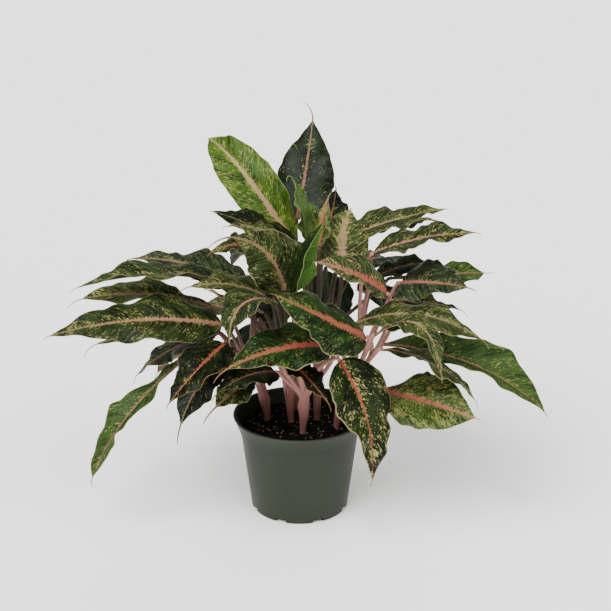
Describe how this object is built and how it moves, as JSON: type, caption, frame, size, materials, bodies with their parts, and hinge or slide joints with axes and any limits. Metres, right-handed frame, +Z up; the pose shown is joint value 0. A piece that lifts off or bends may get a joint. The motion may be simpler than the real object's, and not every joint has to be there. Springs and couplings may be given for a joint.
{
  "type": "potted chinese evergreen",
  "caption": "Bushy house plant with long pink-veined variegated leaves, arching from several short canes in a tapered round nursery pot of soil.",
  "frame": {"origin": "centre of the pot's underside, on the surface that it stands on", "axes": "+Z up along the pot's axis, +X towards the plant's right side, -Y towards its front, where the tallest leaves lean back"},
  "size_m": [0.5408, 0.3832, 0.4462],
  "materials": {
    "pot_plastic": "satin moulded polypropylene, dark olive green",
    "potting_soil": "dark loose peat mix with perlite",
    "pink_stem": "smooth waxy stalk, pink",
    "variegated_leaf": "waxy leaf, dark green with cream and pink veins and specks"
  },
  "bodies": {
    "root": {"pot": "pot_plastic", "soil": "potting_soil", "crown_a": "pink_stem", "crown_b": "pink_stem", "crown_c": "pink_stem", "crown_d": "pink_stem", "crown_e": "pink_stem", "crown_f": "pink_stem", "leaf_01": "variegated_leaf", "leaf_02": "variegated_leaf", "leaf_03": "variegated_leaf", "leaf_04": "variegated_leaf", "leaf_05": "variegated_leaf", "leaf_06": "variegated_leaf", "leaf_07": "variegated_leaf", "leaf_08": "variegated_leaf", "leaf_09": "variegated_leaf", "leaf_10": "variegated_leaf", "leaf_11": "variegated_leaf", "leaf_12": "variegated_leaf", "leaf_13": "variegated_leaf", "leaf_14": "variegated_leaf", "leaf_15": "variegated_leaf", "leaf_16": "variegated_leaf", "leaf_17": "variegated_leaf", "leaf_18": "variegated_leaf", "leaf_19": "variegated_leaf", "leaf_20": "variegated_leaf", "leaf_21": "variegated_leaf", "leaf_22": "variegated_leaf", "leaf_23": "variegated_leaf", "leaf_24": "variegated_leaf", "leaf_25": "variegated_leaf", "leaf_26": "variegated_leaf", "leaf_27": "variegated_leaf", "leaf_28": "variegated_leaf", "leaf_29": "variegated_leaf", "leaf_30": "variegated_leaf", "leaf_31": "variegated_leaf", "leaf_32": "variegated_leaf", "leaf_33": "variegated_leaf", "leaf_34": "variegated_leaf", "leaf_35": "variegated_leaf", "leaf_36": "variegated_leaf", "leaf_37": "variegated_leaf", "leaf_38": "variegated_leaf", "leaf_39": "variegated_leaf", "leaf_40": "variegated_leaf", "leaf_41": "variegated_leaf", "leaf_42": "variegated_leaf", "leaf_43": "variegated_leaf", "leaf_44": "variegated_leaf", "leaf_45": "variegated_leaf", "leaf_46": "variegated_leaf", "leaf_47": "variegated_leaf", "leaf_48": "variegated_leaf", "leaf_49": "variegated_leaf", "leaf_50": "variegated_leaf", "leaf_51": "variegated_leaf", "leaf_52": "variegated_leaf"}
  },
  "joints": []
}
